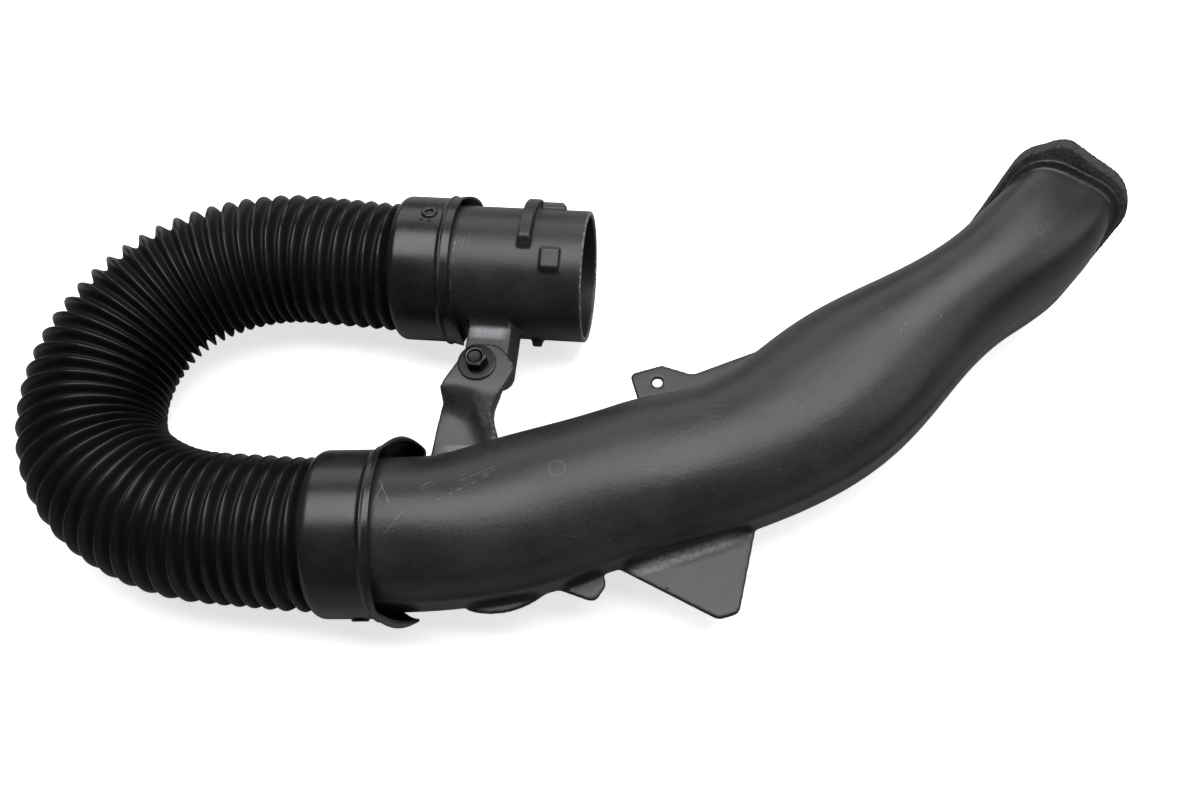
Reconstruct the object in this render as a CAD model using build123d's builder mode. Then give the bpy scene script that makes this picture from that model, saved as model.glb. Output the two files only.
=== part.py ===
import math
import os

from build123d import *

os.makedirs("parts", exist_ok=True)

# Millimetres and degrees. The origin is the middle of the spout's open end, +X points out of the spout, and
# +Z is up from the surface that the pipe lies on. Angles round a tube run from its top towards +Y.

# Outlet spout
spout_radius = 34.0
spout_wall = 2.5
spout_showing = 61.5
rim_round = 0.6

# Snap fit between the hose's cuffs and the tubes inside them
snap_bead = 1.2
snap_spacing = 9.0
snap_setback = 7.0
cuff_clearance = 0.4
cuff_wall = 2.0
cuff_end_gap = 0.5

# Flexible hose: from the upper cuff it turns out a little, then back on itself in four bends
leave_radius = 100.0
leave_turn = 2.9
upper_leg = 40.9
lead_bend_radius = 110.4
lead_bend_turn = 30.8
wide_bend_radius = 79.1
wide_bend_turn = 80.0
tight_bend_radius = 56.3
tight_bend_turn = 38.9
relax_bend_radius = 95.9
lower_leg = 38.3
settle_radius = 150.0
settle_turn = 5.0
convolutions = 48
upper_crest_radius = 33.4
lower_crest_radius = 36.7
convolution_depth = 5.0
convolution_wall = 1.2
crest_start = 0.32
crest_end = 0.68

# Cuffs of the hose, each with a shoulder, a bead and a lip that reaches out as a hood on both sides
upper_cuff_length = 38.0
upper_bead_setback = 10.0
upper_hood_length = 5.0
upper_hood_flare = 2.0
lower_cuff_length = 49.0
lower_bead_setback = 18.5
lower_hood_length = 14.5
lower_hood_flare = 4.0
hood_spread = 0.6
cuff_bead_height = 1.2
cuff_bead_slope = 1.5
cuff_shoulder = 10.0
shoulder_bulge = 0.35

# Vent bosses on the cuffs
boss_radius = 4.0
boss_height = 1.2
boss_hole_radius = 1.5
upper_boss_setback = 18.1
upper_boss_angle = 17.8
lower_boss_setback = 27.0
lower_boss_angle = -104.0

# Locking features on the spout
rib_from_end = 29.5
rib_width = 6.2
rib_height = 5.0
rib_start_angle = -8.5
rib_end_angle = 70.0
rib_leg_length = 15.5
rib_leg_width = 6.5
rib_leg_height = 3.8
rib_end_ramp = 4.2
rib_leg_ramp = 1.5
catch_from_end = 11.4
catch_length = 9.4
catch_width = 11.8
catch_height = 1.9
catch_angle = -19.0
catch_ramp = 2.0
nub_from_end = 25.0
nub_radius = 3.6
nub_height = 3.6
nub_taper = 14.0
nub_angle = -115.0

# Bolted joint between the spout's tab and the duct's arm
bolt_from_end = 49.2
bolt_offset = 58.4
tab_width = 26.0
tab_shift = 4.7
tab_end_margin = 9.6
tab_top = 6.0
tab_thickness = 9.0
tab_end_round = 8.0
tab_root_round = 7.5
tab_flank_width = 3.9
tab_flank_drop = 6.0
insert_radius = 4.6
thread_clearance = 0.1
shank_radius = 3.0
shank_overhang = 3.0
shank_hole_clearance = 0.3
head_across_flats = 10.0
head_height = 6.0
head_dish_radius = 3.9
head_dish_depth = 1.0
washer_radius = 9.6
washer_thickness = 1.6

# Intake duct: path in plan, then a climb to the mouth
spigot_radius = 36.3
entry_radius = 110.0
entry_turn = 16.0
middle_length = 112.0
rise_radius = 151.0
rise_turn = 23.5
mouth_run = 142.8
mouth_lift = 9.5
mouth_yaw = 30.6
mouth_dip = 24.7
mouth_roll = 14.6
duct_wall = 2.2

# Outer sections of the duct, from the spigot to the mouth
swell_width = 76.0
swell_height = 67.0
body_width = 76.5
body_height = 65.0
shoulder_width = 76.0
shoulder_height = 67.0
waist_width = 57.9
waist_height = 71.0
neck_width = 53.8
neck_height = 76.0
mouth_width = 49.5
mouth_height = 75.7
round_corner = 2.0
soft_corner = 2.2
neck_corner = 2.7
mouth_corner = 3.8
section_points = 13

# How far the climb bows to the right at its sections
shoulder_sway = 1.0
waist_sway = 3.4
neck_sway = 6.75
mouth_sway = 3.65

# Mouth flange and foam seal
flange_margin = 3.0
flange_thickness = 3.0
flange_corner = 19.0
seal_overhang = 2.0
seal_corner = 18.0
seal_thickness = 10.0

# Sheet features at the duct's parting plane: places along the middle run, reaches from its centre line
sheet_top = -4.5
sheet_thickness = 3.0
sheet_root = 30.0
fin_start = 47.5
fin_tip_start = 92.5
fin_tip_end = 102.5
fin_end = 126.3
fin_reach = 73.5
fin_round = 5.0
front_ear_start = 22.0
front_ear_tip = 40.5
front_ear_end = 48.0
front_ear_reach = 50.0
front_ear_slope = 6.5
front_ear_round = 4.0
strip_start = -17.0
strip_middle = 2.0
strip_end = 24.0
strip_reach = 43.0
strip_slope = 6.0
rear_ear_start = 88.0
rear_ear_end = 105.0
rear_ear_reach = 58.5
rear_ear_round = 3.0
rear_hole_place = 100.1
rear_hole_reach = 49.8
ear_hole_radius = 2.6
web_start = 118.0
web_start_reach = 49.0
web_end = 186.0
web_end_reach = 53.5
web_corner = 16.0
web_root_end = 175.0
web_round = 6.0

# Bolted arm of the duct
arm_thickness = 3.5
arm_top_reach = 11.0
arm_fold_start = 14.2
fold_run_left = 2.0
fold_run_right = 24.0
arm_left = 17.6
arm_lobe = 20.0
arm_waist = 9.5
arm_waist_drop = 24.0
arm_root_left = 20.0
arm_root_right = 24.0
arm_lobe_round = 6.0
arm_waist_round = 9.0
arm_corner_round = 5.0
arm_left_round = 3.0
ridge_start = -1.6
ridge_end = 13.5
ridge_reach = 48.0
ridge_end_top = -3.5
ridge_flank = 5.0
ridge_wall = 4.5
ridge_round = 4.0

up = Vector(0, 0, 1)

# Hose path in plan, from the lip on the spout to the lip on the duct
with BuildLine() as hose_path:
    upper_cuff_line = Line((-spout_showing, 0), (-spout_showing - upper_cuff_length, 0))
    leave_bend = JernArc(upper_cuff_line @ 1, upper_cuff_line % 1, leave_radius, -leave_turn)
    upper_line = Line(leave_bend @ 1, leave_bend @ 1 + (leave_bend % 1) * upper_leg)
    lead_bend = JernArc(upper_line @ 1, upper_line % 1, lead_bend_radius, lead_bend_turn)
    wide_bend = JernArc(lead_bend @ 1, lead_bend % 1, wide_bend_radius, wide_bend_turn)
    tight_bend = JernArc(wide_bend @ 1, wide_bend % 1, tight_bend_radius, tight_bend_turn)
    relax_turn = 180 + leave_turn - lead_bend_turn - wide_bend_turn - tight_bend_turn
    relax_bend = JernArc(tight_bend @ 1, tight_bend % 1, relax_bend_radius, relax_turn)
    lower_line = Line(relax_bend @ 1, relax_bend @ 1 + Vector(lower_leg, 0))
    settle_bend = JernArc(lower_line @ 1, lower_line % 1, settle_radius, settle_turn)
    cuff_line = Line(settle_bend @ 1, settle_bend @ 1 + (settle_bend % 1) * lower_cuff_length)

hose_wire = hose_path.wires()[0]
bellows_start = upper_cuff_length
bellows_end = hose_wire.length - lower_cuff_length
pitch = (bellows_end - bellows_start) / convolutions
upper_lip = upper_cuff_line @ 0
lower_lip = cuff_line @ 1
lower_heading = cuff_line % 1

upper_bore = spout_radius + snap_bead + cuff_clearance
lower_bore = spigot_radius + snap_bead + cuff_clearance
upper_cuff_radius = upper_bore + cuff_wall
lower_cuff_radius = lower_bore + cuff_wall

# Duct path in plan, from the spigot's end inside the lower cuff
with BuildLine() as duct_path:
    spigot_length = lower_cuff_length - cuff_shoulder - cuff_end_gap
    spigot_line = Line(lower_lip - lower_heading * spigot_length, lower_lip)
    entry_bend = JernArc(spigot_line @ 1, spigot_line % 1, entry_radius, entry_turn)
    middle_line = Line(entry_bend @ 1, entry_bend @ 1 + (entry_bend % 1) * middle_length)
    rise_bend = JernArc(middle_line @ 1, middle_line % 1, rise_radius, rise_turn)

mouth_foot = rise_bend @ 1
mouth_climb = (rise_bend % 1) * mouth_run + up * mouth_lift


def tube_spot(axis_point, heading, angle, radius):
    """Plane on a tube's surface, its x along the tube's axis and its normal out of the tube."""
    side = up.cross(heading)
    outward = side * math.sin(math.radians(angle)) + up * math.cos(math.radians(angle))
    return Plane(origin=axis_point + outward * radius, x_dir=heading, z_dir=outward)


# Flexible hose


def crest_radius(s):
    share = (s - bellows_start) / (bellows_end - bellows_start)
    return upper_crest_radius + (lower_crest_radius - upper_crest_radius) * share


def cuff_rings(radius, root, length, bead_setback, flare):
    """Rings of a cuff, lip first: distance from the lip, half height and half width."""
    lip = radius + cuff_bead_height
    rings = [(0.0, lip, lip + flare)]
    rings.append((bead_setback, lip, lip + flare / 2))
    rings.append((bead_setback + cuff_bead_slope, radius, radius))
    rings.append((length - cuff_shoulder, radius, radius))
    bulge = root + (radius - root) * (1 - shoulder_bulge)
    rings.append((length - cuff_shoulder * shoulder_bulge, bulge, bulge))
    return rings


def bellows_rings(shrink, marks):
    """Rings of the convolutions: a mark is a share of the pitch and 1 in the root or 0 on the crest."""
    rings = []
    for turn in range(convolutions):
        for share, in_root in marks:
            s = bellows_start + (turn + share) * pitch
            radius = crest_radius(s) - convolution_depth * in_root - shrink
            rings.append((s, radius, radius))
    last_root = lower_crest_radius - convolution_depth - shrink
    rings.append((bellows_end, last_root, last_root))
    return rings


def hose_tube(inset, shrink, marks):
    """Solid ruled through rings that stand square to the hose's path, lip to lip."""
    upper_root = upper_crest_radius - convolution_depth - shrink
    lower_root = lower_crest_radius - convolution_depth - shrink
    upper = (upper_cuff_radius - inset, upper_root, upper_cuff_length, upper_bead_setback, upper_hood_flare)
    lower = (lower_cuff_radius - inset, lower_root, lower_cuff_length, lower_bead_setback, lower_hood_flare)
    rings = cuff_rings(*upper) + bellows_rings(shrink, marks)
    rings += [(hose_wire.length - s, high, wide) for s, high, wide in reversed(cuff_rings(*lower))]
    with BuildPart() as tube:
        for s, half_height, half_width in rings:
            spot = hose_wire.position_at(s, PositionMode.LENGTH)
            heading = hose_wire.tangent_at(s, PositionMode.LENGTH)
            with BuildSketch(Plane(origin=spot, x_dir=up, z_dir=heading)):
                if half_height == half_width:
                    Circle(half_height)
                else:
                    Ellipse(half_height, half_width)
        loft(ruled=True, clean=False)
    return tube.part


crest_middle = (crest_start + crest_end) / 2
outer_tube = hose_tube(0.0, 0.0, ((0, 1), (crest_start, 0), (crest_end, 0)))
inner_tube = hose_tube(cuff_wall, convolution_wall, ((0, 1), (crest_middle, 0)))
outer_ends = outer_tube.faces().filter_by(GeomType.PLANE).sort_by(Axis.Y)
inner_ends = inner_tube.faces().filter_by(GeomType.PLANE).sort_by(Axis.Y)
lip_faces = [Face(big.outer_wire(), [small.outer_wire()]) for big, small in zip(outer_ends, inner_ends)]
tube_walls = outer_tube.faces().filter_by(GeomType.PLANE, reverse=True)
tube_walls += inner_tube.faces().filter_by(GeomType.PLANE, reverse=True)
bellows_shell = Solid(Shell(tube_walls + lip_faces))

with BuildPart() as flexible_hose:
    add(bellows_shell)
    for lip, heading, radius, hood_length in (
        (upper_lip, upper_cuff_line % 0 * -1, upper_cuff_radius, upper_hood_length),
        (lower_lip, lower_heading, lower_cuff_radius, lower_hood_length),
    ):
        reach = radius + cuff_bead_height
        clear = reach + hood_length
        with BuildSketch(Plane(origin=lip, x_dir=heading, z_dir=heading.cross(up))):
            with BuildLine():
                spread = reach * hood_spread
                edge = ThreePointArc((-hood_length, spread), (0, 0), (-hood_length, -spread))
                Polyline(
                    edge @ 1, (-hood_length, -clear), (hood_length, -clear), (hood_length, clear),
                    (-hood_length, clear), edge @ 0,
                )
            make_face()
        extrude(amount=2 * reach, both=True, mode=Mode.SUBTRACT)
    for lip, heading, radius, setback, angle in (
        (upper_lip, upper_cuff_line % 0 * -1, upper_cuff_radius, upper_boss_setback, upper_boss_angle),
        (lower_lip, lower_heading, lower_cuff_radius, lower_boss_setback, lower_boss_angle),
    ):
        boss_plane = tube_spot(lip - heading * setback, heading, angle, radius)
        with BuildSketch(boss_plane.offset(-boss_height / 2)):
            Circle(boss_radius)
        extrude(amount=boss_height * 1.5)
        with BuildSketch(boss_plane):
            Circle(boss_hole_radius)
        extrude(amount=boss_height, mode=Mode.SUBTRACT)
flexible_hose.part.label = "flexible_hose"

# Outlet spout
spout_length = spout_showing + upper_cuff_length - cuff_shoulder - cuff_end_gap
bolt_x = -bolt_from_end
bolt_y = -bolt_offset
tab_bottom = tab_top - tab_thickness
tab_root = spout_radius - spout_wall / 2
tab_left = bolt_x + tab_shift - tab_width / 2
tab_right = bolt_x + tab_shift + tab_width / 2

# Tab for the bolted arm, with a sloped right flank
with BuildPart() as spout_tab:
    with BuildSketch(Plane.XZ.offset(tab_root)):
        with BuildLine():
            Polyline(
                (tab_left, tab_bottom),
                (tab_left, tab_top),
                (tab_right - tab_flank_width, tab_top),
                (tab_right, tab_top - tab_flank_drop),
                (tab_right, tab_bottom),
                close=True,
            )
        make_face()
    extrude(amount=bolt_offset + tab_end_margin - tab_root)
    with BuildSketch(Plane.XY.offset(tab_bottom)) as tab_outline:
        with Locations((bolt_x + tab_shift, -(tab_root + bolt_offset + tab_end_margin) / 2)):
            Rectangle(tab_width, bolt_offset + tab_end_margin - tab_root)
        fillet(tab_outline.vertices().group_by(Axis.Y)[0], tab_end_round)
    extrude(amount=tab_thickness, mode=Mode.INTERSECT)

with BuildPart() as outlet_spout:
    with BuildSketch(Plane.XZ) as spout_profile:
        with Locations((-spout_length / 2, spout_radius - spout_wall / 2)):
            Rectangle(spout_length, spout_wall)
        fillet(spout_profile.vertices().group_by(Axis.X)[-1], rim_round)
        for row in range(2):
            with Locations((snap_setback + row * snap_spacing - spout_length, spout_radius)):
                Circle(snap_bead)
    revolve(axis=Axis.X)
    # Tab with a filleted root and a hole for its insert
    add(spout_tab.part)
    root_line = Axis((bolt_x, -math.sqrt(spout_radius**2 - tab_top**2), tab_top), (1, 0, 0))
    fillet(outlet_spout.edges().filter_by(Axis.X).sort_by_distance(root_line.position)[0], tab_root_round)
    with BuildSketch(Plane.XY.offset(tab_top)):
        with Locations((bolt_x, bolt_y)):
            Circle(insert_radius)
    extrude(amount=-tab_thickness, mode=Mode.SUBTRACT)
    # Locking rib: an arc round the tube with a ramped end, and a leg along the tube with another
    rib_root = spout_radius - spout_wall / 2
    with BuildSketch(Plane.YZ.offset(-rib_from_end - rib_width / 2)):
        with BuildLine():
            arc_start = 90 - rib_end_angle
            sweep = rib_end_angle - rib_start_angle
            inner_arc = CenterArc((0, 0), rib_root, arc_start, sweep)
            outer_arc = CenterArc((0, 0), spout_radius + rib_height, arc_start, sweep)
            Line(inner_arc @ 0, outer_arc @ 0)
            Line(inner_arc @ 1, outer_arc @ 1)
        make_face()
    extrude(amount=rib_width)
    rib_end = tube_spot(Vector(-rib_from_end, 0), Vector(1, 0), rib_start_angle, spout_radius + rib_height)
    chamfer(outlet_spout.edges().filter_by(Axis.X).sort_by_distance(rib_end.origin)[0], rib_end_ramp)
    leg_angle = rib_end_angle - math.degrees(rib_leg_width / 2 / spout_radius)
    with BuildSketch(tube_spot(Vector(-rib_from_end, 0), Vector(1, 0), leg_angle, rib_root)):
        with Locations((rib_leg_length / 2, 0)):
            Rectangle(rib_leg_length, rib_leg_width)
    extrude(amount=spout_radius + rib_leg_height - rib_root)
    leg_tip = Vector(rib_leg_length - rib_from_end, 0)
    leg_end = tube_spot(leg_tip, Vector(1, 0), leg_angle, spout_radius + rib_leg_height)
    chamfer(outlet_spout.edges().sort_by_distance(leg_end.origin)[0], rib_leg_ramp)
    # Square catch with a ramp on its lower edge
    catch_middle = Vector(-catch_from_end - catch_length / 2, 0)
    with BuildSketch(tube_spot(catch_middle, Vector(1, 0), catch_angle, rib_root)):
        Rectangle(catch_length, catch_width)
    extrude(amount=spout_radius + catch_height - rib_root)
    catch_spot = tube_spot(catch_middle, Vector(1, 0), catch_angle, spout_radius + catch_height)
    ramp_edge = catch_spot.from_local_coords(Vector(0, -catch_width / 2, 0))
    chamfer(outlet_spout.edges().filter_by(Axis.X).sort_by_distance(ramp_edge)[0], catch_ramp)
    # Locating nub under the tube
    with BuildSketch(tube_spot(Vector(-nub_from_end, 0), Vector(1, 0), nub_angle, rib_root)):
        Circle(nub_radius)
    extrude(amount=spout_radius + nub_height - rib_root, taper=nub_taper)
outlet_spout.part.label = "outlet_spout"

# Threaded insert moulded into the tab
with BuildPart() as tab_insert:
    with BuildSketch(Plane.XY.offset(tab_bottom)):
        with Locations((bolt_x, bolt_y)):
            Circle(insert_radius)
            Circle(shank_radius + thread_clearance, mode=Mode.SUBTRACT)
    extrude(amount=tab_thickness)
tab_insert.part.label = "tab_insert"

# Washer on the arm
arm_top = tab_top + arm_thickness
with BuildPart() as bolt_washer:
    with BuildSketch(Plane.XY.offset(arm_top)):
        with Locations((bolt_x, bolt_y)):
            Circle(washer_radius)
            Circle(shank_radius + shank_hole_clearance, mode=Mode.SUBTRACT)
    extrude(amount=washer_thickness)
bolt_washer.part.label = "bolt_washer"

# Bolt with a dished hexagon head
head_bottom = arm_top + washer_thickness
shank_length = head_bottom - tab_bottom + shank_overhang
with BuildPart() as bracket_bolt:
    with BuildSketch(Plane.XY.offset(head_bottom)):
        with Locations((bolt_x, bolt_y)):
            RegularPolygon(head_across_flats / 2, 6, major_radius=False)
    extrude(amount=head_height)
    with BuildSketch(Plane.XY.offset(head_bottom)):
        with Locations((bolt_x, bolt_y)):
            Circle(shank_radius)
    extrude(amount=-shank_length)
    with BuildSketch(Plane.XY.offset(head_bottom + head_height)):
        with Locations((bolt_x, bolt_y)):
            Circle(head_dish_radius)
    extrude(amount=-head_dish_depth, mode=Mode.SUBTRACT)
bracket_bolt.part.label = "bracket_bolt"

# Intake duct


def duct_plane(spot, yaw, dip=0.0, roll=0.0):
    """Plane square to the duct: x to the left, y up and z along the flow, before the roll."""
    heading = Vector(1, 0, 0).rotate(Axis.Z, yaw)
    left = up.cross(heading)
    tipped = heading * math.cos(math.radians(dip)) - up * math.sin(math.radians(dip))
    raised = tipped.cross(left)
    turned = left * math.cos(math.radians(roll)) + raised * math.sin(math.radians(roll))
    return Plane(origin=spot, x_dir=turned, z_dir=tipped)


def along(edge, share):
    heading = edge % share
    return duct_plane(edge @ share, math.degrees(math.atan2(heading.Y, heading.X)))


run_yaw = settle_turn + entry_turn + rise_turn


def climb(share, sway, turned):
    """Plane on the climb to the mouth, moved right by the sway, turned by a share of the mouth's angles."""
    spot = mouth_foot + mouth_climb * share - up.cross(rise_bend % 1) * sway
    return duct_plane(spot, run_yaw + mouth_yaw * turned, mouth_dip * turned, mouth_roll * turned)


def half_section(width, height, corner, side):
    points = []
    for i in range(section_points):
        angle = math.pi * i / (section_points - 1)
        across = math.copysign(abs(math.cos(angle)) ** (2 / corner), math.cos(angle))
        rise = round(math.sin(angle), 9) ** (2 / corner)
        points.append((width / 2 * across, side * height / 2 * rise))
    return points


mouth_plane = climb(1, mouth_sway, 1)
sections = [
    (along(spigot_line, 0), 2 * spigot_radius, 2 * spigot_radius, round_corner),
    (along(spigot_line, 0.5), 2 * spigot_radius, 2 * spigot_radius, round_corner),
    (along(spigot_line, 1), 2 * spigot_radius, 2 * spigot_radius, round_corner),
    (along(entry_bend, 1), swell_width, swell_height, round_corner),
    (along(middle_line, 0.4), body_width, body_height, round_corner),
    (along(middle_line, 0.75), body_width, body_height, soft_corner),
    (along(rise_bend, 0.5), shoulder_width, body_height, soft_corner),
    (climb(0.2, shoulder_sway, 0), shoulder_width, shoulder_height, soft_corner),
    (climb(0.5, waist_sway, 0.1), waist_width, waist_height, soft_corner),
    (climb(0.76, neck_sway, 0.4), neck_width, neck_height, neck_corner),
    (mouth_plane, mouth_width, mouth_height, mouth_corner),
]


def duct_form(inset, overshoot):
    """Smooth solid through the duct's sections, drawn in by the inset and longer by the overshoot at both ends."""
    with BuildPart() as form:
        for plane, width, height, corner in sections:
            with BuildSketch(plane):
                with BuildLine():
                    size = (width - 2 * inset, height - 2 * inset, corner)
                    Spline(*half_section(*size, 1), tangents=((0, 1), (0, -1)))
                    Spline(*half_section(*size, -1), tangents=((0, -1), (0, 1)))
                make_face()
        loft()
        if overshoot:
            for end in form.faces().filter_by(GeomType.PLANE):
                extrude(end, amount=overshoot)
    return form.part


# The outer form ends at the flange's face, and the cavity runs out through both ends
duct_outside = duct_form(0.0, 0.0)
duct_cavity = duct_form(duct_wall, duct_wall)

# Bolted arm: a sheet folded from the tab down to the parting plane, steeply on its left and gently on its
# right, where a ridge runs from the plate down to the duct
arm_root = (entry_bend @ 1).Y + swell_width / 4
sheet_bottom = sheet_top - sheet_thickness
fold_start = bolt_y - arm_fold_start
arm_start = bolt_y + arm_top_reach

with BuildPart() as duct_arm:
    for across, fold_run in ((-arm_root_left, fold_run_left), (arm_root_right, fold_run_right)):
        fold_end = fold_start - fold_run
        with BuildSketch(Plane.YZ.offset(bolt_x + across)):
            with BuildLine():
                Polyline(
                    (arm_start, arm_top),
                    (fold_start, arm_top),
                    (fold_end, sheet_top),
                    (arm_root, sheet_top),
                    (arm_root, sheet_bottom),
                    (fold_end + sheet_thickness, sheet_bottom),
                    (fold_start + arm_thickness, tab_top),
                    (arm_start, tab_top),
                    close=True,
                )
            make_face()
    loft(ruled=True)
    # The ridge is a cover that goes on from the plate, and a wall under the cover's left edge
    ridge_places = ((fold_start, bolt_x + ridge_start, arm_top, tab_top),
                    (bolt_y - ridge_reach, bolt_x + ridge_end, ridge_end_top, sheet_bottom))
    for place, left, top, bottom in ridge_places:
        with BuildSketch(Plane.XZ.offset(-place)):
            with BuildLine():
                right = bolt_x + arm_root_right
                Polyline((left, bottom), (left, top), (right, top), (right, bottom), close=True)
            make_face()
    loft(ruled=True)
    for place, left, top, bottom in ridge_places:
        with BuildSketch(Plane.XZ.offset(-place)):
            with BuildLine():
                FilletPolyline(
                    (left - ridge_flank, sheet_bottom),
                    (left, top),
                    (left + ridge_wall, top),
                    (left + ridge_wall, sheet_bottom),
                    radius=(0, ridge_round, 0, 0),
                    close=True,
                )
            make_face()
    loft(ruled=True)
    with BuildSketch(Plane.XY.offset(sheet_bottom)):
        with BuildLine():
            FilletPolyline(
                (bolt_x - arm_top_reach / 2, arm_start),
                (bolt_x - arm_left, fold_start),
                (bolt_x - arm_root_left, arm_root),
                (bolt_x + arm_root_right, arm_root),
                (bolt_x + arm_waist, bolt_y - arm_waist_drop),
                (bolt_x + arm_lobe, bolt_y),
                (bolt_x + arm_waist, arm_start),
                radius=(
                    arm_corner_round, arm_left_round, 0, 0, arm_waist_round, arm_lobe_round, arm_corner_round
                ),
                close=True,
            )
        make_face()
    extrude(amount=arm_top - sheet_bottom, mode=Mode.INTERSECT)

with BuildPart() as intake_duct:
    add(duct_outside)
    add(duct_arm.part)
    # Snap beads on the spigot
    for row in range(2):
        bead_plane = along(spigot_line, 0).offset(snap_setback + row * snap_spacing)
        with BuildSketch(Plane(origin=bead_plane.origin, x_dir=bead_plane.z_dir, z_dir=bead_plane.x_dir)):
            with Locations((0, spigot_radius)):
                Circle(snap_bead)
        revolve(axis=Axis(bead_plane.origin, bead_plane.z_dir))
    # Flange round the mouth
    with BuildSketch(mouth_plane.offset(-flange_thickness)):
        RectangleRounded(mouth_width + 2 * flange_margin, mouth_height + 2 * flange_margin, flange_corner)
    extrude(amount=flange_thickness)
    # Sheet features, drawn in a frame that starts with the middle run and follows it
    sheet_start = Vector((middle_line @ 0).X, (middle_line @ 0).Y, sheet_bottom)
    with BuildSketch(Plane(origin=sheet_start, x_dir=middle_line % 0, z_dir=up)):
        # Triangular fin
        with BuildLine():
            FilletPolyline(
                (fin_start, -sheet_root),
                (fin_tip_start, -fin_reach),
                (fin_tip_end, -fin_reach),
                (fin_end, -sheet_root),
                radius=(0, fin_round, fin_round, 0),
                close=True,
            )
        make_face()
        # Small ear beside the fin
        with BuildLine():
            FilletPolyline(
                (front_ear_start, -sheet_root),
                (front_ear_start, front_ear_slope - strip_reach),
                (front_ear_tip, -front_ear_reach),
                (front_ear_end, front_ear_slope - front_ear_reach),
                (front_ear_end, -sheet_root),
                radius=(0, front_ear_round, front_ear_round, front_ear_round, 0),
                close=True,
            )
        make_face()
        # Strip of the parting flange next to the hose
        with BuildLine():
            strip_edge = ThreePointArc(
                (strip_start, strip_slope - strip_reach),
                (strip_middle, -strip_reach),
                (strip_end, strip_slope - strip_reach),
            )
            Polyline(strip_edge @ 1, (strip_end, -sheet_root), (strip_start, -sheet_root), strip_edge @ 0)
        make_face()
        # Rear ear and the web that runs from it to the neck
        with BuildLine():
            FilletPolyline(
                (rear_ear_start, sheet_root),
                (rear_ear_start, rear_ear_reach),
                (rear_ear_end, rear_ear_reach),
                (web_start, web_start_reach),
                (web_end - web_corner, web_end_reach),
                (web_end, web_end_reach),
                (web_root_end, sheet_root),
                radius=(0, rear_ear_round, rear_ear_round, web_round, web_round, rear_ear_round, 0),
                close=True,
            )
        make_face()
        with Locations((rear_hole_place, rear_hole_reach)):
            Circle(ear_hole_radius, mode=Mode.SUBTRACT)
    extrude(amount=sheet_thickness)
    add(duct_cavity, mode=Mode.SUBTRACT)
    with BuildSketch(Plane.XY.offset(tab_top)):
        with Locations((bolt_x, bolt_y)):
            Circle(shank_radius + shank_hole_clearance)
    extrude(amount=arm_thickness, mode=Mode.SUBTRACT)
intake_duct.part.label = "intake_duct"

# Foam seal on the mouth's flange
with BuildPart() as mouth_seal:
    with BuildSketch(mouth_plane):
        seal_margin = flange_margin + seal_overhang
        RectangleRounded(mouth_width + 2 * seal_margin, mouth_height + 2 * seal_margin, seal_corner)
        RectangleRounded(mouth_width, mouth_height, flange_corner - flange_margin, mode=Mode.SUBTRACT)
    extrude(amount=seal_thickness)
mouth_seal.part.label = "mouth_seal"

export_step(flexible_hose.part, "parts/flexible_hose.step")
export_step(outlet_spout.part, "parts/outlet_spout.step")
export_step(tab_insert.part, "parts/tab_insert.step")
export_step(bolt_washer.part, "parts/bolt_washer.step")
export_step(bracket_bolt.part, "parts/bracket_bolt.step")
export_step(intake_duct.part, "parts/intake_duct.step")
export_step(mouth_seal.part, "parts/mouth_seal.step")
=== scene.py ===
import math

import bmesh
import bpy
from mathutils import Matrix, Vector, noise
from mathutils.bvhtree import BVHTree


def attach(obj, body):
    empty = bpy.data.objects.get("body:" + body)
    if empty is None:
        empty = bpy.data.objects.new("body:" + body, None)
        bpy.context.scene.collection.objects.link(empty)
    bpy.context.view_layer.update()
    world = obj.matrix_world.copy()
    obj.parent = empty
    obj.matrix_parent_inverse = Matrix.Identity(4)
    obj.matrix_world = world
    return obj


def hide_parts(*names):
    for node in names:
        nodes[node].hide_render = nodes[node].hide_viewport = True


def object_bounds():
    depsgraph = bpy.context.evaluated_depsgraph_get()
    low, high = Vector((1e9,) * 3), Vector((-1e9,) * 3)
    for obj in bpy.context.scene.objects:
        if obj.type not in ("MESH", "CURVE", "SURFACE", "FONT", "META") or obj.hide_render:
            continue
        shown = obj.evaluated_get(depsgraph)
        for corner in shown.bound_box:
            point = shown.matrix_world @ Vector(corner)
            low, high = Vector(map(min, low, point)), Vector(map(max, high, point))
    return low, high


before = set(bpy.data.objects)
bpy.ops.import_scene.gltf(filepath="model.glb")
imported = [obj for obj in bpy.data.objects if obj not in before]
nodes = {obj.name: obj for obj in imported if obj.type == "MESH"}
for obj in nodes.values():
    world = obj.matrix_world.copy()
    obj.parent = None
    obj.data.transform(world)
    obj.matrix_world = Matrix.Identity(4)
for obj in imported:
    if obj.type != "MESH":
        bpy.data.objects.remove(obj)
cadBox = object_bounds()
scene = bpy.context.scene
mm = 0.001
print("frame loaded:", sorted(nodes))

# view of the photograph
viewSetup = {
    "place": (0.0728132, -0.3121322, 0.5133403),
    "right": (0.992566, 0.100444, -0.068727),
    "up": (-0.0612, 0.900025, 0.43152),
    "back": (0.1052, -0.424106, 0.899482),
    "lens": 34.701,  # on a 36 mm sensor
}

camData = bpy.data.cameras.new("photoView")
camData.lens = viewSetup["lens"]
camData.sensor_width = 36.0
camData.clip_start, camData.clip_end = 0.02, 20
cam = bpy.data.objects.new("photoView", camData)
axes = [Vector(viewSetup[k]).normalized() for k in ("right", "up", "back")]
cam.matrix_world = Matrix.Translation(viewSetup["place"]) @ Matrix(axes).transposed().to_4x4()
scene.collection.objects.link(cam)
scene.camera = cam
print("camera set")


def link(a, b):
    a.id_data.links.new(a, b)


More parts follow.
